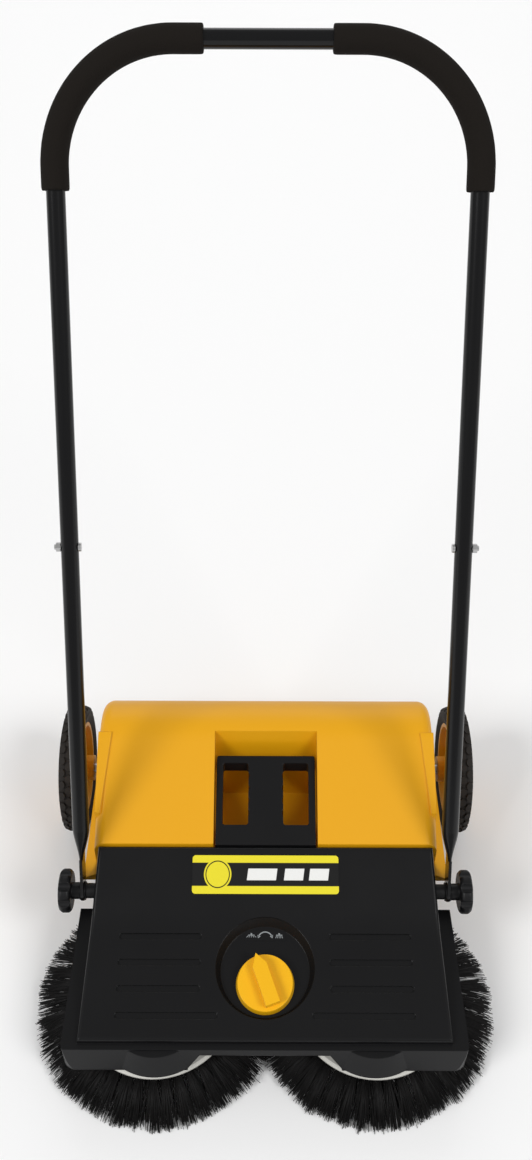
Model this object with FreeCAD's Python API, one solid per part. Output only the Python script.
import FreeCAD, Part
import math
import os

from FreeCAD import Placement, Rotation, Vector

# A push sweeper: two plate brushes under a black hood, driven from the rear wheels by round belts and
# face gears, throw the dirt back into a yellow container. A folding U handle pushes it.
# Millimetres, +Z up, -Y is the way it is pushed, X runs across. While the pieces are made, Y = 0 is the
# line through the brush centres; at the end everything moves so that the origin is under the middle.
# Left is the -X side and right is the +X side.

# Brushes
BRUSH_SPACING = 258.0
BRUSH_TILT = 6.0
BRUSH_TIP_Z = 14.6
SKIRT_R = 128.0
SKIRT_RIM = 6.0
PLATE_R = 98.0
PLATE_RIM_DROP = 6.0
PLATE_DECK_R = 34.0
PLATE_THICK = 8.0
PLATE_Z = 34.0
TUFT_BAND = 16.0
SPINDLE_R = 6.0
BRUSH_BUSH_WALL = 2.0
RUNNING_GAP = 0.05
FACE_GAP = 0.3

# Drive
GEAR_MODULE = 1.5
CROWN_TEETH = 32
PINION_TEETH = 16
TOOTH_ADDENDUM = 0.8
TOOTH_DEDENDUM = 1.2
TOOTH_TIP = 1.5
TOOTH_ROOT = 1.9
CROWN_BASE = 5.0
PINION_FACE = 6.0
SHAFT_R = 5.0
SHAFT_BUSH_WALL = 2.0
BEARING_LENGTH = 12.0
HANGER_R = 12.0
BELT_X = 186.0
BELT_R = 2.4
BELT_GAP = 0.35
SMALL_PULLEY_PITCH_R = 9.0
WHEEL_PULLEY_PITCH_R = 24.0
PULLEY_RIM = 2.5
PULLEY_WIDTH = 10.0

# Wheels
WHEEL_R = 84.5
WHEEL_Y = 304.0
WHEEL_INNER_X = 241.0
TYRE_WIDTH = 29.0
TYRE_BORE_R = 62.0
TYRE_SHOULDER = 6.0
HUB_WEB = 6.0
HUB_BOSS_R = 17.0
AXLE_R = 6.0
AXLE_BUSH_WALL = 2.5
AXLE_BOSS_R = 13.0

# Chassis
DECK_Z = 89.0
DECK_THICK = 3.0
DECK_FRONT_Y = -42.0
DECK_REAR_Y = 118.0
DECK_BAY_HALF = 60.0
DECK_BAY_REAR_Y = 25.0
BELT_SLOT_FRONT_Y = 24.0
BELT_SLOT_HALF = 4.5
ARM_X = 193.0
ARM_THICK = 5.0
ARM_TOP_Z = 111.7
ARM_LOW_Z = 60.0
ARM_REAR_Y = 328.0
LUG_GAP = 1.0
LUG_THICK = 5.0

# Hood
WALL = 3.0
RIDGE_Y = -79.0
CREASE_Y = 46.0
CREASE_Z = 120.0
HOOD_REAR_Y = 131.0
HOOD_REAR_LOW_Z = 113.0
FRONT_SLOPE = 0.268
REAR_SLOPE = 0.47
CREASE_R = 200.0
CAP_HALF_FRONT = 213.0
CAP_HALF_REAR = 203.0
CAP_EDGE_R = 4.0
RIM_FRONT_Y = -94.0
RIM_REAR_Y = 84.0
RIM_HALF_FRONT = 232.0
RIM_HALF_REAR = 226.0
RIM_FRONT_Z = 78.0
RIM_REAR_Z = 92.0
RIM_CORNER_R = 16.0
SKIRT_LOW_Z = 44.0
SKIRT_MID_Z = 69.0
SIDE_CUT_FRONT_Y = -72.0
SIDE_CUT_Z = 54.0
SIDE_WALL_HEIGHT = 22.0
SKIRT_MID_HALF = 74.0
SKIRT_MID_SPREAD = 14.0
APRON_X = 126.0
APRON_Y = -34.0
APRON_R = 70.0
APRON_LOW_Z = 47.0
APRON_TOP_Z = 76.0
APRON_TAPER = 10.0
GROOVE_WIDTH = 7.5
GROOVE_DEPTH = 2.2
GROOVE_FIRST_Y = 33.0
GROOVE_PITCH = 28.7
GROOVE_COUNT = 4
GROOVE_OUTER_X = 172.0
GROOVE_INNER_X = 75.0
GROOVE_LAST_INNER_X = 54.0
DISH_R = 58.0
DISH_FLOOR_R = 52.0
DISH_DEPTH = 9.0
DISH_Y = -1.0
DISH_FLOOR_SHIFT = -3.0
HOOD_SCREW_X = 150.0
HOOD_SCREW_Y = 104.0
HOOD_SCREW_R = 2.0
HOOD_SCREW_BOSS_R = 5.0

# Label and scale plates
LABEL_HALF = 88.0
LABEL_FRONT_Y = 78.5
LABEL_REAR_Y = 119.5
LABEL_CORNER_R = 4.0
LABEL_THICK = 0.8
SCALE_HALF = 24.0
SCALE_LENGTH = 11.0
SCALE_Y = 36.0
SCALE_THICK = 0.5

# Height adjuster
KNOB_Y = -18.0
KNOB_R = 34.0
KNOB_BASE = 10.0
KNOB_BAR = 12.0
KNOB_BAR_WIDTH = 17.0
KNOB_REST_TURN = 20.0
KNOB_SPINDLE_R = 5.0
KNOB_LEFT_DEG = 30.0
KNOB_RIGHT_DEG = -70.0
ARM_PER_KNOB = -0.05
CAM_R = 17.0
CAM_DROP = 17.0
CAM_CONTACT_R = 12.0
CAM_GAP = 0.8
ARM_PIN_R = 3.0
ARM_PIN_Y = 34.0
ARM_PIN_Z = 74.0
LEVER_HALF = 10.0
FORK_HALF = 17.0
NOSE_R = 3.0
NOSE_HALF = 3.0
ROLLER_Y = 104.0
ROLLER_R = 12.0
ROLLER_WIDTH = 26.0
ROLLER_CLEAR = 5.0
ROLLER_PIN_R = 2.5

# Carry handle
CARRY_HALF = 61.0
CARRY_REAR_Y = 231.0
CARRY_SLOPE = 0.4526
CARRY_DEPTH = 16.0
CARRY_SIDE_WALL = 8.0
CARRY_CORNER_R = 3.0
CARRY_BAR_HALF = 21.5
CARRY_WINDOW_FRONT_Y = 153.0
CARRY_WINDOW_REAR_Y = 223.0
CARRY_BUMP_R = 6.0
CARRY_BUMPS = 4

# Container
BOX_FRONT_Y = 132.0
BOX_REAR_Y = 332.0
BOX_TOP_SLOPE = 0.57
BOX_HALF_TOP = 208.5
BOX_HALF_SHELF = 209.5
BOX_SHELF_Z = 112.0
BOX_LOW_HALF = 176.0
BOX_LOW_STEP = 4.0
BOX_FLOOR_Z = 30.0
BOX_EDGE_R = 14.0
BOX_REAR_R = 60.8
BOX_CEILING_Z = 300.0
FLANGE_OUT_X = 223.5
FLANGE_IN_X = 204.8
FLANGE_FRONT_Y = 112.0
FLANGE_REAR_Y = 250.0
FLANGE_EDGE = 3.5
FLANGE_RISE = 11.0
RIB_REAR_Y = 250.0
RIB_FRONT_Y = 163.0
RIB_REAR_X = 192.0
RIB_FRONT_X = 203.0
RIB_RISE = 2.0
POCKET_HALF = 63.5
POCKET_FLOOR_Z = 118.0
POCKET_FLOOR_REAR_Y = 238.0
POCKET_TOP_REAR_Y = 253.0
MOUTH_HALF = 170.0
MOUTH_LOW_Z = 36.0
MOUTH_TOP_Z = 108.0
LIP_THICK = 2.5
LIP_LOW_Z = 3.0
LIP_HALF = 174.0
LIP_SCREWS = 6

# Push handle
PIVOT_Y = 92.5
PIVOT_Z = 118.8
HANDLE_LEAN = 29.0
HANDLE_LENGTH = 955.0
TUBE_X = 221.0
TUBE_R = 10.0
TUBE_WALL = 1.5
STRAP_THICK = 3.6
STRAP_HALF_WIDTH = 12.0
FLATTEN_START = 40.0
FLATTEN_END = 84.0
TUBE_JOINT = 404.0
SPIGOT_LENGTH = 50.0
SPIGOT_GAP = 0.1
JOINT_BOLT_UP = 24.0
JOINT_BOLT_R = 3.0
CORNER_R = 124.0
GRIP_R = 14.8
GRIP_START = 808.0
GRIP_GAP_HALF = 65.0

# Star knobs
PIVOT_BOSS_R = 9.0
PIVOT_BOSS_END_X = 217.2
STUD_R = 4.0
STUD_INNER_X = 200.0
WASHER_R = 11.0
WASHER_THICK = 1.5
WASHER_GAP = 0.2
STAR_STEM_R = 10.0
STAR_STEM_LENGTH = 9.5
STAR_R = 26.0
STAR_THICK = 14.5
STAR_LOBES = 8
STAR_NOTCH_R = 6.0

X_AXIS = Vector(1, 0, 0)
Y_AXIS = Vector(0, 1, 0)
Z_AXIS = Vector(0, 0, 1)
TILT = math.radians(BRUSH_TILT)
SLOPE_DEG = math.degrees(math.atan(FRONT_SLOPE))
BRUSH_X = BRUSH_SPACING / 2
CROWN_PITCH_R = GEAR_MODULE * CROWN_TEETH / 2
PINION_PITCH_R = GEAR_MODULE * PINION_TEETH / 2
PITCH_PLANE = PLATE_Z + PLATE_THICK + CROWN_BASE + TOOTH_DEDENDUM
SHAFT_LOCAL_Z = PITCH_PLANE + PINION_PITCH_R
SHAFT_Y = -SHAFT_LOCAL_Z * math.sin(TILT)
SHAFT_Z = BRUSH_TIP_Z + SHAFT_LOCAL_Z * math.cos(TILT)
ROLLER_Z = ROLLER_R + ROLLER_CLEAR
TYRE_OUTER_X = WHEEL_INNER_X + TYRE_WIDTH


# Helpers

def box(x0, x1, y0, y1, z0, z1):
    return Part.makeBox(x1 - x0, y1 - y0, z1 - z0, Vector(x0, y0, z0))


def rod(start, direction, radius, length):
    return Part.makeCylinder(radius, length, start, direction)


def rod_x(x0, x1, y, z, radius):
    return rod(Vector(x0, y, z), X_AXIS, radius, x1 - x0)


def tube_x(x0, x1, y, z, outer, inner):
    return rod_x(x0, x1, y, z, outer).cut(rod_x(x0, x1, y, z, inner))


def prism(points, direction):
    wire = Part.makePolygon(points + [points[0]])
    return Part.Face(wire).extrude(direction)


def prism_x(outline, x0, x1):
    """outline is (y, z) points."""
    return prism([Vector(x0, y, z) for y, z in outline], Vector(x1 - x0, 0, 0))


def prism_y(outline, y0, y1):
    """outline is (x, z) points."""
    return prism([Vector(x, y0, z) for x, z in outline], Vector(0, y1 - y0, 0))


def prism_z(outline, z0, z1):
    """outline is (x, y) points."""
    return prism([Vector(x, y, z0) for x, y in outline], Vector(0, 0, z1 - z0))


def turned(outline):
    """A solid of revolution about Z from (radius, z) points."""
    wire = Part.makePolygon([Vector(r, 0, z) for r, z in outline + [outline[0]]])
    return Part.Face(wire).revolve(Vector(0, 0, 0), Z_AXIS, 360)


def mirrored(shape):
    return shape.mirror(Vector(0, 0, 0), X_AXIS)


def along_x(shape):
    """Turns a piece made about Z so that its axis is X."""
    shape.Placement = Placement(Vector(0, 0, 0), Rotation(Y_AXIS, 90)).multiply(shape.Placement)
    return shape


def moved(shape, offset):
    shape.translate(offset)
    return shape


def placed(shape, origin, turn_about_x):
    shape.Placement = Placement(origin, Rotation(X_AXIS, turn_about_x)).multiply(shape.Placement)
    return shape


def on_brush(shape):
    """Local z is the right brush's axis, from the plane of the bristle tips."""
    return placed(shape, Vector(BRUSH_X, 0, BRUSH_TIP_Z), BRUSH_TILT)


def on_panel(shape, y):
    """Local z is the front panel's outward normal, from the panel's middle line at y."""
    return placed(shape, Vector(0, y, hood_top(y)), SLOPE_DEG)


def on_handle(shape):
    """Local z runs up the push handle from its pivot."""
    return placed(shape, Vector(0, PIVOT_Y, PIVOT_Z), -HANDLE_LEAN)


def edges_where(shape, test):
    return [e for e in shape.Edges if test(e)]


def hood_top(y):
    slope = FRONT_SLOPE if y < CREASE_Y else REAR_SLOPE
    return CREASE_Z + (y - CREASE_Y) * slope


def box_top(y):
    return hood_top(HOOD_REAR_Y) + (y - HOOD_REAR_Y) * BOX_TOP_SLOPE


# Hood

def hood_cap(inset):
    """The raised panel. With an inset it is the bay under the panel, open below."""
    low = SKIRT_LOW_Z - inset
    side = [
        (RIDGE_Y + inset, low),
        (RIDGE_Y + inset, hood_top(RIDGE_Y + inset) - inset),
        (CREASE_Y, CREASE_Z - inset),
        (HOOD_REAR_Y - inset, hood_top(HOOD_REAR_Y - inset) - inset),
    ]
    if inset:
        side += [(HOOD_REAR_Y - inset, low)]
    else:
        side += [(HOOD_REAR_Y, HOOD_REAR_LOW_Z), (RIM_REAR_Y, HOOD_REAR_LOW_Z), (RIM_REAR_Y, low)]
    front = CAP_HALF_FRONT - inset
    rear = CAP_HALF_REAR - inset
    plan = [(-front, RIDGE_Y), (front, RIDGE_Y), (rear, HOOD_REAR_Y), (-rear, HOOD_REAR_Y)]
    body = prism_x(side, -CAP_HALF_FRONT, CAP_HALF_FRONT)
    crease = edges_where(body, lambda e: abs(e.CenterOfMass.y - CREASE_Y) < 1 and abs(e.tangentAt(0).x) > 0.9)
    body = body.makeFillet(CREASE_R, crease)
    return body.common(prism_z(plan, 0, BOX_CEILING_Z))


def hood_rim(inset):
    """The lower apron round the raised panel, smaller by inset on every side but the bottom."""
    low = SKIRT_LOW_Z - inset
    side = [
        (RIM_FRONT_Y + inset, low),
        (RIM_FRONT_Y + 8 + inset, RIM_FRONT_Z - inset),
        (RIM_REAR_Y - inset, RIM_REAR_Z - inset),
        (RIM_REAR_Y - inset, low),
    ]
    front = RIM_HALF_FRONT - inset
    rear = RIM_HALF_REAR - inset
    plan = [(-front, RIM_FRONT_Y), (front, RIM_FRONT_Y), (rear, RIM_REAR_Y), (-rear, RIM_REAR_Y)]
    outline = prism_z(plan, 0, BOX_CEILING_Z)
    corners = edges_where(outline, lambda e: is_upright(e) and e.CenterOfMass.y < 0)
    outline = outline.makeFillet(RIM_CORNER_R - inset, corners)
    return prism_x(side, -RIM_HALF_FRONT, RIM_HALF_FRONT).common(outline)


def apron(inset):
    """The round bulge of the skirt in front of a brush plate, flush with the skirt at its top."""
    radius = APRON_R - inset
    centre = Vector(APRON_X, APRON_Y, APRON_LOW_Z)
    guard = Part.makeCone(radius, radius - APRON_TAPER, APRON_TOP_Z - APRON_LOW_Z, centre)
    if inset:
        guard = guard.fuse(rod(centre, Vector(0, 0, -1), radius, APRON_LOW_Z))
    return guard.common(box(0, RIM_HALF_FRONT, -2 * APRON_R, RIDGE_Y + WALL, 0, APRON_TOP_Z - inset))


def groove(x0, x1, y):
    radius = GROOVE_WIDTH / 2
    cutter = box(x0 + radius, x1 - radius, -radius, radius, -GROOVE_DEPTH, WALL)
    for x in (x0 + radius, x1 - radius):
        cutter = cutter.fuse(rod(Vector(x, 0, -GROOVE_DEPTH), Z_AXIS, radius, GROOVE_DEPTH + WALL))
    return on_panel(cutter, y)


def dish(grow):
    """The recess round the knob, or with grow the bowl that makes its wall."""
    floor = Vector(0, DISH_FLOOR_SHIFT, -DISH_DEPTH - grow)
    bottom = Part.Wire([Part.Circle(floor, Z_AXIS, DISH_FLOOR_R + grow).toShape()])
    top = Part.Wire([Part.Circle(Vector(0, 0, 0), Z_AXIS, DISH_R + grow).toShape()])
    bowl = Part.makeLoft([bottom, top], True)
    mouth = rod(Vector(0, 0, 0), Z_AXIS, DISH_R + grow, DISH_DEPTH + WALL)
    return on_panel(bowl.fuse(mouth), DISH_Y)


def hood_screw_places():
    return [(side * HOOD_SCREW_X, y) for side in (-1, 1) for y in (HOOD_SCREW_Y, CREASE_Y)]


def is_upright(edge):
    return abs(edge.tangentAt(edge.FirstParameter).z) > 0.9


def on_cap_edge(edge):
    """True for the edges round the raised panel's top, without the lines across it at the bend."""
    middle = edge.CenterOfMass
    across = abs(edge.tangentAt(edge.FirstParameter).x) > 0.9
    inside = RIDGE_Y + 1 < middle.y < HOOD_REAR_Y - 1
    return abs(middle.z - hood_top(middle.y)) < 1.5 and not (across and inside)


def make_hood():
    body = hood_cap(0)
    body = body.makeFillet(CAP_EDGE_R, edges_where(body, on_cap_edge))
    body = body.fuse(hood_rim(0))
    bays = hood_cap(WALL).fuse(hood_rim(WALL))
    for side in (apron, lambda inset: mirrored(apron(inset))):
        body = body.fuse(side(0))
        bays = bays.fuse(side(WALL))
    low_half = SKIRT_MID_HALF + SKIRT_MID_SPREAD
    notch = [
        (-SKIRT_MID_HALF, SKIRT_MID_Z), (SKIRT_MID_HALF, SKIRT_MID_Z),
        (low_half, APRON_LOW_Z), (low_half, 0), (-low_half, 0), (-low_half, APRON_LOW_Z),
    ]
    middle = prism_y(notch, -2 * APRON_R, 0)
    body = body.cut(bays).cut(middle)
    side_cut = [
        (SIDE_CUT_FRONT_Y, 0), (RIM_REAR_Y + 1, 0), (RIM_REAR_Y + 1, RIM_REAR_Z - SIDE_WALL_HEIGHT),
        (SIDE_CUT_FRONT_Y + 30, SIDE_CUT_Z), (SIDE_CUT_FRONT_Y, SKIRT_LOW_Z),
    ]
    body = body.cut(prism_x(side_cut, -RIM_HALF_FRONT - 1, RIM_HALF_FRONT + 1))
    body = body.fuse(dish(WALL).common(hood_cap(0)))
    body = body.cut(dish(0))
    for row in range(GROOVE_COUNT):
        inner = GROOVE_LAST_INNER_X if row == GROOVE_COUNT - 1 else GROOVE_INNER_X
        cutter = groove(inner, GROOVE_OUTER_X, GROOVE_FIRST_Y - row * GROOVE_PITCH)
        body = body.cut(cutter).cut(mirrored(cutter))
    for x, y in hood_screw_places():
        column = rod(Vector(x, y, DECK_Z + DECK_THICK), Z_AXIS, HOOD_SCREW_BOSS_R, BOX_CEILING_Z)
        body = body.fuse(column.common(hood_cap(WALL / 2)))
        body = body.cut(rod(Vector(x, y, 0), Z_AXIS, HOOD_SCREW_R, DECK_Z + DECK_THICK + 10))
    body = body.cut(rod_x(-RIM_HALF_FRONT, RIM_HALF_FRONT, PIVOT_Y, PIVOT_Z, PIVOT_BOSS_R + FACE_GAP))
    hole = rod(Vector(0, 0, -40), Z_AXIS, KNOB_SPINDLE_R + RUNNING_GAP, 60)
    return body.cut(on_panel(hole, KNOB_Y)).removeSplitter()


def make_label_plate():
    middle = (LABEL_FRONT_Y + LABEL_REAR_Y) / 2
    angle = math.degrees(math.atan(REAR_SLOPE))
    half_length = (LABEL_REAR_Y - LABEL_FRONT_Y) / 2 / math.cos(math.radians(angle))
    plate = box(-LABEL_HALF, LABEL_HALF, -half_length, half_length, 0, LABEL_THICK)
    plate = plate.makeFillet(LABEL_CORNER_R, edges_where(plate, lambda e: abs(e.tangentAt(0).z) > 0.9))
    return placed(plate, Vector(0, middle, hood_top(middle)), angle)


def make_scale_plate():
    plate = box(-SCALE_HALF, SCALE_HALF, -SCALE_LENGTH / 2, SCALE_LENGTH / 2, 0, SCALE_THICK)
    return on_panel(moved(plate, Vector(0, 0, -DISH_DEPTH)), SCALE_Y)


# Carry handle on the hood's rear edge

def carry_top(y):
    return hood_top(HOOD_REAR_Y) + (y - HOOD_REAR_Y) * CARRY_SLOPE


def make_carry_handle():
    side = [
        (HOOD_REAR_Y, carry_top(HOOD_REAR_Y)),
        (CARRY_REAR_Y, carry_top(CARRY_REAR_Y)),
        (CARRY_REAR_Y, carry_top(CARRY_REAR_Y) - CARRY_DEPTH),
        (HOOD_REAR_Y, carry_top(HOOD_REAR_Y) - CARRY_DEPTH),
    ]
    body = prism_x(side, -CARRY_HALF, CARRY_HALF)
    rear_corners = edges_where(body, lambda e: is_upright(e) and e.CenterOfMass.y > HOOD_REAR_Y + 1)
    body = body.makeFillet(CARRY_CORNER_R, rear_corners)
    window = box(
        CARRY_BAR_HALF, CARRY_HALF - CARRY_SIDE_WALL,
        CARRY_WINDOW_FRONT_Y, CARRY_WINDOW_REAR_Y, 0, BOX_CEILING_Z,
    )
    window = window.makeFillet(CARRY_CORNER_R, edges_where(window, is_upright))
    body = body.cut(window).cut(mirrored(window))
    pitch = (CARRY_WINDOW_REAR_Y - CARRY_WINDOW_FRONT_Y) / (CARRY_BUMPS + 1)
    for bump in range(CARRY_BUMPS):
        y = CARRY_WINDOW_FRONT_Y + pitch * (bump + 1)
        scoop = rod(Vector(CARRY_BAR_HALF + CARRY_BUMP_R - 1.4, y, 0), Z_AXIS, CARRY_BUMP_R, BOX_CEILING_Z)
        body = body.cut(scoop).cut(mirrored(scoop))
    return body.removeSplitter()


# Chassis: deck, side arms and bearing blocks

def arm_outline():
    pivot_front = PIVOT_Y - PIVOT_BOSS_R - 5
    pivot_rear = PIVOT_Y + PIVOT_BOSS_R + 4
    return [
        (DECK_FRONT_Y, ARM_LOW_Z + 4), (DECK_FRONT_Y, DECK_Z + DECK_THICK),
        (pivot_front - 20, DECK_Z + DECK_THICK), (pivot_front, PIVOT_Z + PIVOT_BOSS_R),
        (pivot_rear, PIVOT_Z + PIVOT_BOSS_R), (pivot_rear + 6, ARM_TOP_Z),
        (WHEEL_Y, ARM_TOP_Z), (ARM_REAR_Y, ARM_TOP_Z - 12),
        (ARM_REAR_Y, ARM_LOW_Z + 6), (WHEEL_Y, ARM_LOW_Z), (BOX_FRONT_Y, ARM_LOW_Z + 6),
    ]


def make_right_arm():
    arm = prism_x(arm_outline(), ARM_X, ARM_X + ARM_THICK)
    arm = arm.fuse(rod_x(ARM_X + ARM_THICK, WHEEL_INNER_X - 12, WHEEL_Y, WHEEL_R, AXLE_BOSS_R))
    arm = arm.fuse(rod_x(ARM_X + ARM_THICK, PIVOT_BOSS_END_X, PIVOT_Y, PIVOT_Z, PIVOT_BOSS_R))
    arm = arm.cut(rod_x(ARM_X - 1, WHEEL_INNER_X, WHEEL_Y, WHEEL_R, AXLE_R + RUNNING_GAP + AXLE_BUSH_WALL))
    return arm.cut(rod_x(STUD_INNER_X - 3, TUBE_X, PIVOT_Y, PIVOT_Z, STUD_R + RUNNING_GAP))


def outer_bearing():
    """(x0, x1) of the right cross shaft's outer bearing."""
    outer_end = BELT_X - PULLEY_WIDTH / 2 - 2
    return (outer_end - BEARING_LENGTH, outer_end)


def make_right_bearings():
    """The outer bearing block, and the hanger that carries the brush spindle and lets the shaft through."""
    bush_r = SHAFT_R + RUNNING_GAP + SHAFT_BUSH_WALL
    x0, x1 = outer_bearing()
    block = box(x0, x1, SHAFT_Y - bush_r - 3, SHAFT_Y + bush_r + 3, SHAFT_Z - bush_r - 2.5, DECK_Z)
    block = block.cut(rod_x(x0, x1, SHAFT_Y, SHAFT_Z, bush_r))
    low = PLATE_Z + PLATE_THICK + CROWN_BASE + 1
    hanger = on_brush(rod(Vector(0, 0, low), Z_AXIS, HANGER_R, SHAFT_LOCAL_Z))
    hanger = hanger.common(box(0, ARM_X, -60, 60, 0, DECK_Z + DECK_THICK))
    hanger = hanger.cut(rod_x(BRUSH_X - 20, BRUSH_X + 20, SHAFT_Y, SHAFT_Z, SHAFT_R + RUNNING_GAP))
    return block.fuse(hanger)


def spindle_top():
    """The spindle ends in the hanger, just under the cross shaft."""
    return SHAFT_LOCAL_Z - SHAFT_R - 1.5


def make_chassis():
    deck = box(-ARM_X, ARM_X, DECK_FRONT_Y, DECK_REAR_Y, DECK_Z, DECK_Z + DECK_THICK)
    bay = box(
        -DECK_BAY_HALF, DECK_BAY_HALF, DECK_FRONT_Y - 1, DECK_BAY_REAR_Y, DECK_Z - 1, DECK_Z + DECK_THICK + 1
    )
    deck = deck.cut(bay)
    slot = box(
        BELT_X - BELT_SLOT_HALF, BELT_X + BELT_SLOT_HALF,
        BELT_SLOT_FRONT_Y, DECK_REAR_Y + 1, DECK_Z - 1, DECK_Z + DECK_THICK + 1,
    )
    deck = deck.cut(slot).cut(mirrored(slot))
    brace = box(-ARM_X, ARM_X, DECK_REAR_Y - 3, DECK_REAR_Y, DECK_Z - 10, DECK_Z)
    body = deck.fuse(brace)
    right = make_right_arm().fuse(make_right_bearings())
    body = body.fuse(right).fuse(mirrored(right))
    lug_x = LEVER_HALF + LUG_GAP
    lug = box(lug_x, lug_x + LUG_THICK, ARM_PIN_Y - 7, ARM_PIN_Y + 7, ARM_PIN_Z - 6, DECK_Z)
    body = body.fuse(lug).fuse(mirrored(lug))
    body = body.cut(rod_x(-30, 30, ARM_PIN_Y, ARM_PIN_Z, ARM_PIN_R))
    spindle_hole = on_brush(rod(Vector(0, 0, 0), Z_AXIS, SPINDLE_R, spindle_top()))
    body = body.cut(spindle_hole).cut(mirrored(spindle_hole))
    for x, y in hood_screw_places():
        body = body.cut(rod(Vector(x, y, DECK_Z - 1), Z_AXIS, HOOD_SCREW_R + 0.2, DECK_THICK + 2))
    return body.removeSplitter()


def make_hood_screws():
    screws = []
    for x, y in hood_screw_places():
        head = Part.makeCone(4, 2.6, 2.4, Vector(x, y, DECK_Z - 0.05), Vector(0, 0, -1))
        shank = rod(Vector(x, y, DECK_Z - 1), Z_AXIS, HOOD_SCREW_R, DECK_THICK + 10)
        screws.append(head.fuse(shank))
    return Part.makeCompound(screws)


# Wheels, made on the right side

def make_tyre():
    out = WHEEL_R
    side = TYRE_WIDTH / 2
    ring = turned([
        (TYRE_BORE_R, -side + 3), (out - TYRE_SHOULDER - 4, -side), (out - 1.5, -side + TYRE_SHOULDER),
        (out, -side / 3), (out, side / 3), (out - 1.5, side - TYRE_SHOULDER),
        (out - TYRE_SHOULDER - 4, side), (TYRE_BORE_R, side - 3),
    ])
    return moved(along_x(ring), Vector(WHEEL_INNER_X + side, WHEEL_Y, WHEEL_R))


def make_wheel_hub():
    side = TYRE_WIDTH / 2
    web = HUB_WEB / 2
    ring = turned([
        (AXLE_R, -side - 8), (HUB_BOSS_R, -side - 8), (HUB_BOSS_R, -web), (TYRE_BORE_R - 8, -web),
        (TYRE_BORE_R - 5, -side + 3), (TYRE_BORE_R, -side + 3), (TYRE_BORE_R, side - 3),
        (TYRE_BORE_R - 5, side - 3), (TYRE_BORE_R - 8, web), (HUB_BOSS_R, web), (HUB_BOSS_R, side - 5),
        (AXLE_R, side - 5),
    ])
    return moved(along_x(ring), Vector(WHEEL_INNER_X + side, WHEEL_Y, WHEEL_R))


def make_wheel_cap():
    base = TYRE_OUTER_X - 5
    cap = turned([(0, 0), (HUB_BOSS_R + 3, 0), (HUB_BOSS_R + 3, 3), (HUB_BOSS_R - 4, 6.5), (0, 7.5)])
    return moved(along_x(cap), Vector(base, WHEEL_Y, WHEEL_R))


def make_wheel_axle():
    return rod_x(BELT_X - PULLEY_WIDTH / 2 - 2, TYRE_OUTER_X - 5, WHEEL_Y, WHEEL_R, AXLE_R)


def make_axle_bush():
    inner = AXLE_R + RUNNING_GAP
    return tube_x(ARM_X, WHEEL_INNER_X - 12, WHEEL_Y, WHEEL_R, inner + AXLE_BUSH_WALL, inner)


def pulley(pitch_r, bore_r):
    half = PULLEY_WIDTH / 2
    rim = pitch_r + PULLEY_RIM
    body = turned([(bore_r, -half), (rim, -half), (rim, half), (bore_r, half)])
    groove_r = BELT_R + BELT_GAP
    body = body.cut(Part.makeTorus(pitch_r, groove_r))
    outside = turned([(pitch_r, -groove_r), (rim + 1, -groove_r), (rim + 1, groove_r), (pitch_r, groove_r)])
    return along_x(body.cut(outside))


def make_wheel_pulley():
    return moved(pulley(WHEEL_PULLEY_PITCH_R, AXLE_R), Vector(BELT_X, WHEEL_Y, WHEEL_R))


def make_shaft_pulley():
    return moved(pulley(SMALL_PULLEY_PITCH_R, SHAFT_R), Vector(BELT_X, SHAFT_Y, SHAFT_Z))


def make_belt():
    """A round belt on the two outside tangents of its pulleys."""
    rear = Vector(BELT_X, WHEEL_Y, WHEEL_R)
    front = Vector(BELT_X, SHAFT_Y, SHAFT_Z)
    span = rear - front
    along = span.normalize()
    distance = (rear - front).Length
    up = Vector(0, -along.z, along.y)
    sine = (WHEEL_PULLEY_PITCH_R - SMALL_PULLEY_PITCH_R) / distance
    cosine = math.sqrt(1 - sine * sine)

    def point(centre, radius, side):
        return centre + (up * (cosine * side) - along * sine) * radius

    top_front = point(front, SMALL_PULLEY_PITCH_R, 1)
    top_rear = point(rear, WHEEL_PULLEY_PITCH_R, 1)
    low_front = point(front, SMALL_PULLEY_PITCH_R, -1)
    low_rear = point(rear, WHEEL_PULLEY_PITCH_R, -1)
    path = Part.Wire([
        Part.LineSegment(top_front, top_rear).toShape(),
        Part.Arc(top_rear, rear + along * WHEEL_PULLEY_PITCH_R, low_rear).toShape(),
        Part.LineSegment(low_rear, low_front).toShape(),
        Part.Arc(low_front, front - along * SMALL_PULLEY_PITCH_R, top_front).toShape(),
    ])
    section = Part.Wire([Part.Circle(top_front, top_rear - top_front, BELT_R).toShape()])
    return Part.Solid(path.makePipeShell([section], True, True))


# Cross shaft and gears, made on the right side. The pinion meshes on the crown's inner side, so the
# brushes sweep inwards at the front.

def make_cross_shaft():
    start = BRUSH_X - CROWN_PITCH_R - PINION_FACE / 2 - 3
    return rod_x(start, BELT_X + PULLEY_WIDTH / 2, SHAFT_Y, SHAFT_Z, SHAFT_R)


def make_shaft_bushes():
    inner = SHAFT_R + RUNNING_GAP
    x0, x1 = outer_bearing()
    return both(tube_x(x0, x1, SHAFT_Y, SHAFT_Z, inner + SHAFT_BUSH_WALL, inner))


def pinion_tooth():
    """A tooth that points down, along the shaft's x."""
    root = PINION_PITCH_R - TOOTH_DEDENDUM - 0.3
    tip = PINION_PITCH_R + TOOTH_ADDENDUM
    outline = [
        (-TOOTH_ROOT / 2, -root), (-TOOTH_TIP / 2, -tip), (TOOTH_TIP / 2, -tip), (TOOTH_ROOT / 2, -root),
    ]
    return prism_x(outline, -PINION_FACE / 2, PINION_FACE / 2)


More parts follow.
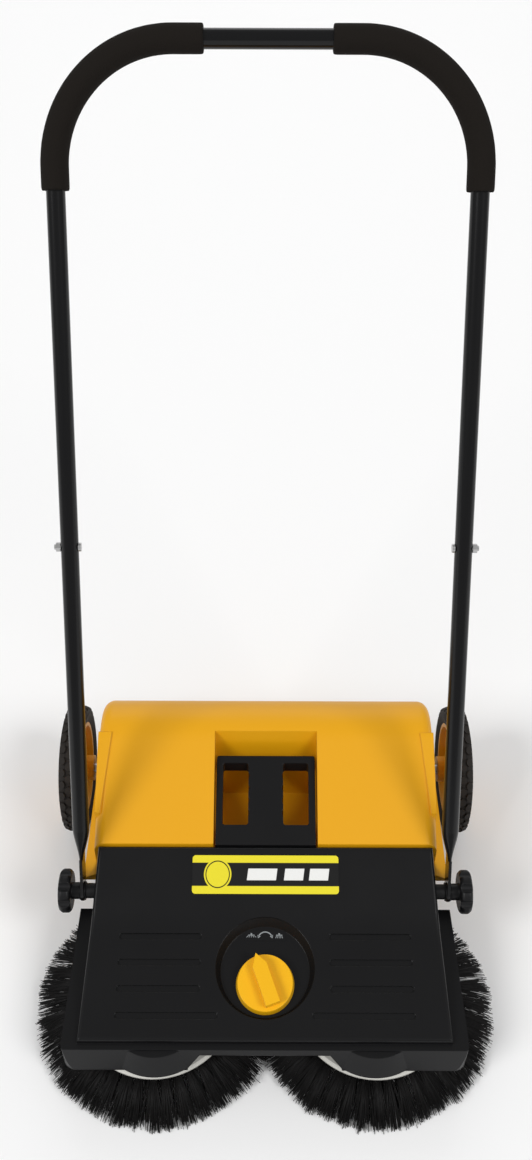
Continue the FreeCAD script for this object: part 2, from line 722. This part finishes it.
def make_pinion():
    root = PINION_PITCH_R - TOOTH_DEDENDUM
    gear = rod_x(-PINION_FACE / 2, PINION_FACE / 2, 0, 0, root)
    for tooth in range(PINION_TEETH):
        copy = pinion_tooth()
        copy.rotate(Vector(0, 0, 0), X_AXIS, tooth * 360 / PINION_TEETH)
        gear = gear.fuse(copy)
    gear = gear.cut(rod_x(-PINION_FACE, PINION_FACE, 0, 0, SHAFT_R))
    gear.Placement = Placement(Vector(-CROWN_PITCH_R, 0, SHAFT_LOCAL_Z), Rotation())
    return on_brush(gear.removeSplitter())


def crown_tooth():
    """A tooth that stands up on the crown's face, along its radius."""
    low = PITCH_PLANE - TOOTH_DEDENDUM - 0.3
    top = PITCH_PLANE + TOOTH_ADDENDUM
    outline = [(-TOOTH_ROOT / 2, low), (TOOTH_ROOT / 2, low), (TOOTH_TIP / 2, top), (-TOOTH_TIP / 2, top)]
    return prism_x(outline, CROWN_PITCH_R - PINION_FACE / 2 - 1, CROWN_PITCH_R + PINION_FACE / 2 + 1)


def make_crown_gear():
    base_z = PLATE_Z + PLATE_THICK
    hub_r = SPINDLE_R + RUNNING_GAP + BRUSH_BUSH_WALL
    rim_r = CROWN_PITCH_R + PINION_FACE / 2 + 2
    top_z = base_z + CROWN_BASE
    gear = turned([(hub_r, base_z), (rim_r, base_z), (rim_r, top_z), (hub_r, top_z)])
    pitch = 360 / CROWN_TEETH
    for tooth in range(CROWN_TEETH):
        copy = crown_tooth()
        copy.rotate(Vector(0, 0, 0), Z_AXIS, (tooth + 0.5) * pitch)
        gear = gear.fuse(copy)
    return on_brush(gear.removeSplitter())


# Brushes, made on the right side

def make_brush_plate():
    hub_r = SPINDLE_R + RUNNING_GAP + BRUSH_BUSH_WALL
    top = PLATE_Z + PLATE_THICK
    rim_low = PLATE_Z - PLATE_RIM_DROP
    rim_top = top - PLATE_RIM_DROP
    band = PLATE_R - TUFT_BAND - 4
    step = PLATE_DECK_R + PLATE_RIM_DROP
    return on_brush(turned([
        (hub_r, PLATE_Z), (PLATE_DECK_R, PLATE_Z), (step, rim_low), (band, rim_low),
        (PLATE_R - 2, rim_low), (PLATE_R, rim_low + 2), (PLATE_R, rim_top - 3), (PLATE_R - 3, rim_top),
        (step, rim_top), (PLATE_DECK_R, top), (hub_r, top),
    ]))


def make_brush_bush():
    inner = SPINDLE_R + RUNNING_GAP
    outer = inner + BRUSH_BUSH_WALL
    top = PLATE_Z + PLATE_THICK + CROWN_BASE
    return on_brush(turned([(inner, PLATE_Z), (outer, PLATE_Z), (outer, top), (inner, top)]))


def make_bristles():
    inner = PLATE_R - TUFT_BAND - 2
    outer = PLATE_R - 2
    top = PLATE_Z - PLATE_RIM_DROP
    return on_brush(turned([
        (inner, top), (outer, top), (SKIRT_R, SKIRT_RIM), (SKIRT_R, 0), (SKIRT_R - 24, 0),
    ]))


def make_brush_spindle():
    low = PLATE_Z - 1
    return on_brush(rod(Vector(0, 0, low), Z_AXIS, SPINDLE_R, spindle_top() - low))


def make_brush_screw():
    low = PLATE_Z - 1
    washer = rod(Vector(0, 0, low - 2), Z_AXIS, SPINDLE_R + 6, 2)
    head = Part.makeCone(SPINDLE_R, SPINDLE_R - 1.5, 5, Vector(0, 0, low - 2), Vector(0, 0, -1))
    return on_brush(washer.fuse(head))


# Height adjuster

def cam_place(shape):
    return on_panel(shape, KNOB_Y)


def make_height_knob():
    floor = -DISH_DEPTH + 0.4
    base = Part.makeCone(KNOB_R, KNOB_R - 2, KNOB_BASE, Vector(0, 0, floor))
    half = KNOB_BAR_WIDTH / 2
    reach = KNOB_R - 1
    outline = [(-half, -reach + 6), (half, -reach + 6), (half, reach - 14), (0, reach), (-half, reach - 14)]
    bar = prism_z(outline, floor + KNOB_BASE - 1, floor + KNOB_BASE + KNOB_BAR)
    knob = base.fuse(bar).cut(rod(Vector(0, 0, floor), Z_AXIS, KNOB_SPINDLE_R, KNOB_BASE + 4))
    knob.rotate(Vector(0, 0, 0), Z_AXIS, KNOB_REST_TURN)
    return cam_place(knob)


def make_knob_spindle():
    floor = -DISH_DEPTH + 0.4
    low = -DISH_DEPTH - CAM_DROP
    return cam_place(rod(Vector(0, 0, low), Z_AXIS, KNOB_SPINDLE_R, floor + KNOB_BASE + 4 - low))


def cam_contact():
    """(y, z) of the cam's underside above the lever's nose, at rest."""
    slope = math.radians(SLOPE_DEG)
    drop = -DISH_DEPTH - CAM_DROP
    y = KNOB_Y + CAM_CONTACT_R * math.cos(slope) - drop * math.sin(slope)
    return y, hood_top(KNOB_Y) + CAM_CONTACT_R * math.sin(slope) + drop * math.cos(slope)


def cam_lean():
    """The lean of the cam's underside that lowers the nose as fast as the lever's ratio asks."""
    lever = ARM_PIN_Y - cam_contact()[0]
    return math.atan(abs(ARM_PER_KNOB) * lever / CAM_CONTACT_R)


def make_height_cam():
    """A disc cut off by a leaning plane, so that its underside rises and falls as it turns."""
    middle_turn = 90 - (KNOB_LEFT_DEG + KNOB_RIGHT_DEG) / 2
    rest_turn = math.radians(90 - middle_turn)
    middle_drop = -DISH_DEPTH - CAM_DROP + CAM_CONTACT_R * math.tan(cam_lean()) * math.sin(rest_turn)
    top = -DISH_DEPTH - WALL - 4
    cam = rod(Vector(0, 0, middle_drop - 8), Z_AXIS, CAM_R, top - middle_drop + 8)
    above = box(-3 * CAM_R, 3 * CAM_R, -3 * CAM_R, 3 * CAM_R, 0, 3 * CAM_R)
    axis = Vector(math.cos(math.radians(middle_turn)), math.sin(math.radians(middle_turn)), 0)
    above.rotate(Vector(0, 0, 0), axis, -math.degrees(cam_lean()))
    cam = cam.common(moved(above, Vector(0, 0, middle_drop)))
    return cam_place(cam.cut(rod(Vector(0, 0, -80), Z_AXIS, KNOB_SPINDLE_R, 80)))


def make_roller_arm():
    """A lever on the arm pin: a round nose under the cam in front, a fork for the roller behind."""
    nose_y, nose_top = cam_contact()
    nose_z = nose_top - CAM_GAP - NOSE_R
    lever = prism_x([
        (nose_y - NOSE_R, nose_z - 8), (nose_y - NOSE_R, nose_z), (nose_y + NOSE_R, nose_z),
        (ARM_PIN_Y - 8, ARM_PIN_Z + 4), (ARM_PIN_Y + 5, ARM_PIN_Z + 5), (ARM_PIN_Y + 12, ARM_PIN_Z - 4),
        (ARM_PIN_Y + 4, ARM_PIN_Z - 7), (ARM_PIN_Y - 8, ARM_PIN_Z - 6),
    ], -LEVER_HALF, LEVER_HALF)
    for side in (-1, 1):
        cheek = side * (LEVER_HALF + NOSE_HALF) / 2
        half = (LEVER_HALF - NOSE_HALF) / 2
        front = ARM_PIN_Y - 9
        lever = lever.cut(box(cheek - half, cheek + half, nose_y - 9, front, ARM_PIN_Z - 30, DECK_Z))
    lever = lever.fuse(rod_x(-NOSE_HALF, NOSE_HALF, nose_y, nose_z, NOSE_R))
    fork = prism_x([
        (ARM_PIN_Y + 5, ARM_PIN_Z + 5), (ROLLER_Y - 8, ROLLER_Z + ROLLER_R + 10),
        (ROLLER_Y + 5, ROLLER_Z + ROLLER_R + 4), (ROLLER_Y + 5, ROLLER_Z - 4), (ROLLER_Y - 4, ROLLER_Z - 4),
        (ROLLER_Y - 16, ROLLER_Z + ROLLER_R + 3), (ARM_PIN_Y + 4, ARM_PIN_Z - 7),
    ], -FORK_HALF, FORK_HALF)
    trim = box(LEVER_HALF, FORK_HALF + 1, 0, ARM_PIN_Y + 14, 0, DECK_Z)
    fork = fork.cut(trim).cut(mirrored(trim))
    slot_half = ROLLER_WIDTH / 2 + 0.5
    reach = ROLLER_R + 2
    slot = box(-slot_half, slot_half, ROLLER_Y - reach, ROLLER_Y + reach, 0, ROLLER_Z + ROLLER_R + 1.5)
    lever = lever.fuse(fork).cut(slot)
    lever = lever.cut(rod_x(-30, 30, ARM_PIN_Y, ARM_PIN_Z, ARM_PIN_R + RUNNING_GAP))
    return lever.cut(rod_x(-30, 30, ROLLER_Y, ROLLER_Z, ROLLER_PIN_R)).removeSplitter()


def make_arm_pin():
    half = LEVER_HALF + LUG_GAP + LUG_THICK
    return rod_x(-half, half, ARM_PIN_Y, ARM_PIN_Z, ARM_PIN_R)


def make_roller_pin():
    return rod_x(-FORK_HALF, FORK_HALF, ROLLER_Y, ROLLER_Z, ROLLER_PIN_R)


def make_front_roller():
    half = ROLLER_WIDTH / 2
    return tube_x(-half, half, ROLLER_Y, ROLLER_Z, ROLLER_R, ROLLER_PIN_R + RUNNING_GAP)


# Container

def box_side(inset):
    """The upper box seen from the side: a sloping roof that rolls over into the rear wall."""
    drop = inset / math.cos(math.atan(BOX_TOP_SLOPE))
    front = BOX_FRONT_Y + inset
    rear = BOX_REAR_Y - inset
    outline = [
        (front, BOX_SHELF_Z + inset), (front, box_top(front) - drop),
        (rear, box_top(rear) - drop), (rear, BOX_SHELF_Z + inset),
    ]
    body = prism_x(outline, -BOX_HALF_SHELF, BOX_HALF_SHELF)
    ridge = edges_where(body, lambda e: e.CenterOfMass.z > box_top(rear) - drop - 1)
    return body.makeFillet(BOX_REAR_R - inset, ridge)


def box_upper(inset):
    low = BOX_SHELF_Z + inset
    outline = [
        (-BOX_HALF_SHELF + inset, low), (BOX_HALF_SHELF - inset, low),
        (BOX_HALF_TOP - inset, BOX_CEILING_Z), (-BOX_HALF_TOP + inset, BOX_CEILING_Z),
    ]
    return box_side(inset).common(prism_y(outline, BOX_FRONT_Y, BOX_REAR_Y))


def box_lower(inset):
    half = BOX_LOW_HALF - inset
    rear = BOX_REAR_Y - BOX_LOW_STEP - inset
    return box(-half, half, BOX_FRONT_Y + inset, rear, BOX_FLOOR_Z + inset, BOX_SHELF_Z + 2 * WALL)


def pocket(grow):
    """The space for the carry handle and the hand round it."""
    half = POCKET_HALF + grow
    rise = (POCKET_TOP_REAR_Y - POCKET_FLOOR_REAR_Y) / (box_top(POCKET_TOP_REAR_Y) - POCKET_FLOOR_Z)
    top_y = POCKET_FLOOR_REAR_Y + rise * (BOX_CEILING_Z - POCKET_FLOOR_Z)
    outline = [
        (BOX_FRONT_Y - 1 - grow, POCKET_FLOOR_Z - grow), (POCKET_FLOOR_REAR_Y + grow, POCKET_FLOOR_Z - grow),
        (top_y + grow, BOX_CEILING_Z), (BOX_FRONT_Y - 1 - grow, BOX_CEILING_Z),
    ]
    return prism_x(outline, -half, half)


def corner_rib():
    """The corner left square, narrowing to the front, on the right side."""
    plan = [
        (BOX_HALF_SHELF + 1, RIB_REAR_Y), (RIB_REAR_X, RIB_REAR_Y),
        (RIB_FRONT_X, RIB_FRONT_Y), (BOX_HALF_SHELF + 1, RIB_FRONT_Y),
    ]
    raised = moved(box_upper(0), Vector(0, 0, RIB_RISE))
    return raised.common(prism_z(plan, BOX_SHELF_Z + 20, BOX_CEILING_Z))


def side_flange():
    """The lip along the right side that hangs on the chassis arm's edge."""
    outline = [
        (FLANGE_IN_X, BOX_SHELF_Z), (FLANGE_OUT_X, BOX_SHELF_Z), (FLANGE_OUT_X, BOX_SHELF_Z + FLANGE_EDGE),
        (BOX_HALF_SHELF, BOX_SHELF_Z + FLANGE_RISE), (FLANGE_IN_X, BOX_SHELF_Z + FLANGE_RISE),
    ]
    return prism_y(outline, FLANGE_FRONT_Y, FLANGE_REAR_Y)


def rounded_sides(upper, inset):
    """The upper box with its long top edges rounded, from the front over the roof."""
    def is_long_top_edge(edge):
        middle = edge.CenterOfMass
        outside = middle.z > BOX_SHELF_Z + 40 and abs(middle.x) > BOX_HALF_TOP - inset - 1
        lengthwise = abs(edge.tangentAt(edge.FirstParameter).x) < 0.5
        return outside and lengthwise and BOX_FRONT_Y + 5 < middle.y < BOX_REAR_Y - inset - 1

    return upper.makeFillet(BOX_EDGE_R, edges_where(upper, is_long_top_edge))


def make_container():
    shell = rounded_sides(box_upper(0), 0)
    shell = shell.fuse(corner_rib()).fuse(mirrored(corner_rib()))
    shell = shell.fuse(box_lower(0)).fuse(side_flange()).fuse(mirrored(side_flange()))
    hollow = rounded_sides(box_upper(WALL), WALL).fuse(box_lower(WALL)).cut(pocket(WALL))
    mouth = box(-MOUTH_HALF, MOUTH_HALF, BOX_FRONT_Y - 1, BOX_FRONT_Y + WALL + 1, MOUTH_LOW_Z, MOUTH_TOP_Z)
    return shell.cut(hollow).cut(pocket(0)).cut(mouth).removeSplitter()


def make_dust_lip():
    return box(-LIP_HALF, LIP_HALF, BOX_FRONT_Y - LIP_THICK, BOX_FRONT_Y, LIP_LOW_Z, MOUTH_LOW_Z)


def make_lip_screws():
    heads = []
    pitch = 2 * (LIP_HALF - 20) / (LIP_SCREWS - 1)
    for screw in range(LIP_SCREWS):
        x = -LIP_HALF + 20 + screw * pitch
        start = Vector(x, BOX_FRONT_Y - LIP_THICK, MOUTH_LOW_Z - 3)
        heads.append(Part.makeCone(2.6, 1.8, 1.2, start, Vector(0, -1, 0)))
    return Part.makeCompound(heads)


# Push handle

def taper():
    """The tube's change from flat to round, as a stack of ellipses."""
    steps = 5
    wires = []
    for step in range(steps):
        share = step / (steps - 1)
        blend = share * share * (3 - 2 * share)
        z = FLATTEN_START + share * (FLATTEN_END - FLATTEN_START)
        across = STRAP_THICK / 2 + 0.3 + blend * (TUBE_R - STRAP_THICK / 2 - 0.3)
        deep = STRAP_HALF_WIDTH + 1 + blend * (TUBE_R - STRAP_HALF_WIDTH - 1)
        start = Vector(TUBE_X, 0, z)
        if deep >= across:
            curve = Part.Ellipse(start + Vector(0, deep, 0), start + Vector(-across, 0, 0), start)
        if deep - across < 0.01:
            curve = Part.Circle(start, Z_AXIS, TUBE_R)
        wires.append(Part.Wire([curve.toShape()]))
    return Part.makeLoft(wires, True)


def make_lower_tube():
    half = STRAP_THICK / 2
    strap = box(TUBE_X - half, TUBE_X + half, -STRAP_HALF_WIDTH, STRAP_HALF_WIDTH, 0, FLATTEN_START + 6)
    strap = strap.fuse(rod_x(TUBE_X - half, TUBE_X + half, 0, 0, STRAP_HALF_WIDTH))
    inner = TUBE_R - TUBE_WALL
    spigot_r = inner - SPIGOT_GAP
    tube = rod(Vector(TUBE_X, 0, FLATTEN_END), Z_AXIS, TUBE_R, TUBE_JOINT - FLATTEN_END)
    spigot = rod(Vector(TUBE_X, 0, TUBE_JOINT), Z_AXIS, spigot_r, SPIGOT_LENGTH)
    body = strap.fuse(taper()).fuse(tube).fuse(spigot)
    hollow = rod(Vector(TUBE_X, 0, FLATTEN_END + 4), Z_AXIS, spigot_r - TUBE_WALL, TUBE_JOINT + SPIGOT_LENGTH)
    body = body.cut(hollow).cut(rod_x(TUBE_X - half, TUBE_X + half, 0, 0, STUD_R + RUNNING_GAP))
    bolt_hole = rod_x(TUBE_X - 20, TUBE_X + 20, 0, TUBE_JOINT + JOINT_BOLT_UP, JOINT_BOLT_R)
    return on_handle(body.cut(bolt_hole))


def bow_path(start_z):
    """The U's centre line, from the left leg at start_z to the right leg at start_z."""
    bend_z = HANDLE_LENGTH - CORNER_R
    bend_x = TUBE_X - CORNER_R
    shift = CORNER_R * math.sqrt(0.5)
    left = Part.Arc(
        Vector(-TUBE_X, 0, bend_z),
        Vector(-bend_x - shift, 0, bend_z + shift),
        Vector(-bend_x, 0, HANDLE_LENGTH),
    )
    right = Part.Arc(
        Vector(bend_x, 0, HANDLE_LENGTH), Vector(bend_x + shift, 0, bend_z + shift), Vector(TUBE_X, 0, bend_z)
    )
    return [
        Part.LineSegment(Vector(-TUBE_X, 0, start_z), Vector(-TUBE_X, 0, bend_z)).toShape(),
        left.toShape(),
        Part.LineSegment(Vector(-bend_x, 0, HANDLE_LENGTH), Vector(bend_x, 0, HANDLE_LENGTH)).toShape(),
        right.toShape(),
        Part.LineSegment(Vector(TUBE_X, 0, bend_z), Vector(TUBE_X, 0, start_z)).toShape(),
    ]


def swept(edges, start, direction, radius):
    section = Part.Wire([Part.Circle(start, direction, radius).toShape()])
    return Part.Solid(Part.Wire(edges).makePipeShell([section], True, True))


def make_upper_tube():
    edges = bow_path(TUBE_JOINT)
    start = Vector(-TUBE_X, 0, TUBE_JOINT)
    body = swept(edges, start, Z_AXIS, TUBE_R).cut(swept(edges, start, Z_AXIS, TUBE_R - TUBE_WALL))
    for side in (-1, 1):
        z = TUBE_JOINT + JOINT_BOLT_UP
        body = body.cut(rod_x(side * TUBE_X - 15, side * TUBE_X + 15, 0, z, JOINT_BOLT_R))
    return on_handle(body)


def make_right_grip():
    bend_z = HANDLE_LENGTH - CORNER_R
    bend_x = TUBE_X - CORNER_R
    shift = CORNER_R * math.sqrt(0.5)
    arc = Part.Arc(
        Vector(TUBE_X, 0, bend_z), Vector(bend_x + shift, 0, bend_z + shift), Vector(bend_x, 0, HANDLE_LENGTH)
    )
    edges = [
        Part.LineSegment(Vector(TUBE_X, 0, GRIP_START), Vector(TUBE_X, 0, bend_z)).toShape(),
        arc.toShape(),
        Part.LineSegment(Vector(bend_x, 0, HANDLE_LENGTH), Vector(GRIP_GAP_HALF, 0, HANDLE_LENGTH)).toShape(),
    ]
    start = Vector(TUBE_X, 0, GRIP_START)
    return on_handle(swept(edges, start, Z_AXIS, GRIP_R).cut(swept(edges, start, Z_AXIS, TUBE_R)))


def make_joint_bolts():
    bolts = []
    for side in (-1, 1):
        z = TUBE_JOINT + JOINT_BOLT_UP
        inner = side * (TUBE_X - TUBE_R)
        head = rod(Vector(inner, 0, z), Vector(-side, 0, 0), 5, 3)
        shank = rod(Vector(inner, 0, z), Vector(side, 0, 0), JOINT_BOLT_R, 2 * TUBE_R + 7)
        bolts.append(on_handle(head.fuse(shank)))
    return Part.makeCompound(bolts)


def make_joint_nuts():
    nuts = []
    for side in (-1, 1):
        z = TUBE_JOINT + JOINT_BOLT_UP
        outer = side * (TUBE_X + TUBE_R)
        points = [
            Vector(outer, 5.5 * math.cos(math.radians(60 * k)), z + 5.5 * math.sin(math.radians(60 * k)))
            for k in range(6)
        ]
        nut = prism(points, Vector(side * 5, 0, 0))
        nuts.append(on_handle(nut.cut(rod_x(outer - 8, outer + 8, 0, z, JOINT_BOLT_R))))
    return Part.makeCompound(nuts)


# Star knobs on the pivots, made on the right side

def washer_spans():
    """(x0, x1) of the inner and the outer washer."""
    strap_in = TUBE_X - STRAP_THICK / 2
    strap_out = TUBE_X + STRAP_THICK / 2
    inner_end = strap_in - WASHER_GAP
    outer_start = strap_out + WASHER_GAP
    return [(inner_end - WASHER_THICK, inner_end), (outer_start, outer_start + WASHER_THICK)]


def make_pivot_washers():
    rings = [tube_x(x0, x1, PIVOT_Y, PIVOT_Z, WASHER_R, STUD_R + RUNNING_GAP) for x0, x1 in washer_spans()]
    return Part.makeCompound(rings + [mirrored(ring) for ring in rings])


def make_star_knob():
    stem_x = washer_spans()[1][1] + 0.1
    head_x = stem_x + STAR_STEM_LENGTH
    stem = rod_x(stem_x, head_x + 1, PIVOT_Y, PIVOT_Z, STAR_STEM_R)
    head = rod_x(head_x, head_x + STAR_THICK, PIVOT_Y, PIVOT_Z, STAR_R)
    rims = edges_where(head, lambda e: e.Closed and e.Length > STAR_R)
    head = head.makeFillet(5, rims)
    for lobe in range(STAR_LOBES):
        angle = 2 * math.pi * (lobe + 0.5) / STAR_LOBES
        y = PIVOT_Y + (STAR_R + 2) * math.cos(angle)
        z = PIVOT_Z + (STAR_R + 2) * math.sin(angle)
        head = head.cut(rod_x(head_x - 1, head_x + STAR_THICK + 1, y, z, STAR_NOTCH_R))
    knob = stem.fuse(head)
    return knob.cut(rod_x(stem_x, head_x + 8, PIVOT_Y, PIVOT_Z, STUD_R)).removeSplitter()


def make_star_stud():
    stem_x = washer_spans()[1][1] + 0.1
    return rod_x(STUD_INNER_X, stem_x + STAR_STEM_LENGTH + 8, PIVOT_Y, PIVOT_Z, STUD_R)


# Assembly

def pair(nodes, name, shape):
    nodes["right_" + name] = shape
    nodes["left_" + name] = mirrored(shape)


def both(shape):
    return Part.makeCompound([shape, mirrored(shape)])


def make_nodes():
    nodes = {
        "chassis": make_chassis(),
        "hood": make_hood(),
        "label_plate": make_label_plate(),
        "scale_plate": make_scale_plate(),
        "carry_handle": make_carry_handle(),
        "hood_screws": make_hood_screws(),
        "brush_spindles": both(make_brush_spindle()),
        "brush_screws": both(make_brush_screw()),
        "axle_bushes": both(make_axle_bush()),
        "shaft_bushes": make_shaft_bushes(),
        "pivot_washers": make_pivot_washers(),
        "arm_pin": make_arm_pin(),
        "container": make_container(),
        "dust_lip": make_dust_lip(),
        "lip_screws": make_lip_screws(),
        "height_knob": make_height_knob(),
        "knob_spindle": make_knob_spindle(),
        "height_cam": make_height_cam(),
        "roller_arm": make_roller_arm(),
        "roller_pin": make_roller_pin(),
        "front_roller": make_front_roller(),
        "upper_tube": make_upper_tube(),
        "joint_bolts": make_joint_bolts(),
        "joint_nuts": make_joint_nuts(),
    }
    pair(nodes, "drive_belt", make_belt())
    pair(nodes, "tyre", make_tyre())
    pair(nodes, "wheel_hub", make_wheel_hub())
    pair(nodes, "wheel_cap", make_wheel_cap())
    pair(nodes, "wheel_axle", make_wheel_axle())
    pair(nodes, "wheel_pulley", make_wheel_pulley())
    pair(nodes, "cross_shaft", make_cross_shaft())
    pair(nodes, "shaft_pulley", make_shaft_pulley())
    pair(nodes, "pinion", make_pinion())
    pair(nodes, "crown_gear", make_crown_gear())
    pair(nodes, "brush_plate", make_brush_plate())
    pair(nodes, "brush_bush", make_brush_bush())
    pair(nodes, "bristles", make_bristles())
    pair(nodes, "lower_tube", make_lower_tube())
    pair(nodes, "grip", make_right_grip())
    pair(nodes, "star_knob", make_star_knob())
    pair(nodes, "star_stud", make_star_stud())
    return nodes


def origin_shift(nodes):
    """How far everything moves along Y so that the origin is under the middle of the whole machine."""
    low = min(shape.optimalBoundingBox(False).YMin for shape in nodes.values())
    high = max(shape.optimalBoundingBox(False).YMax for shape in nodes.values())
    return -(low + high) / 2


NODES = make_nodes()
SHIFT_Y = origin_shift(NODES)
os.makedirs("parts", exist_ok=True)
for node_name, node_shape in NODES.items():
    node_shape.translate(Vector(0, SHIFT_Y, 0))
    node_shape.exportStep(os.path.join("parts", node_name + ".step"))
print(len(NODES), "nodes, moved along Y by", round(SHIFT_Y, 3))
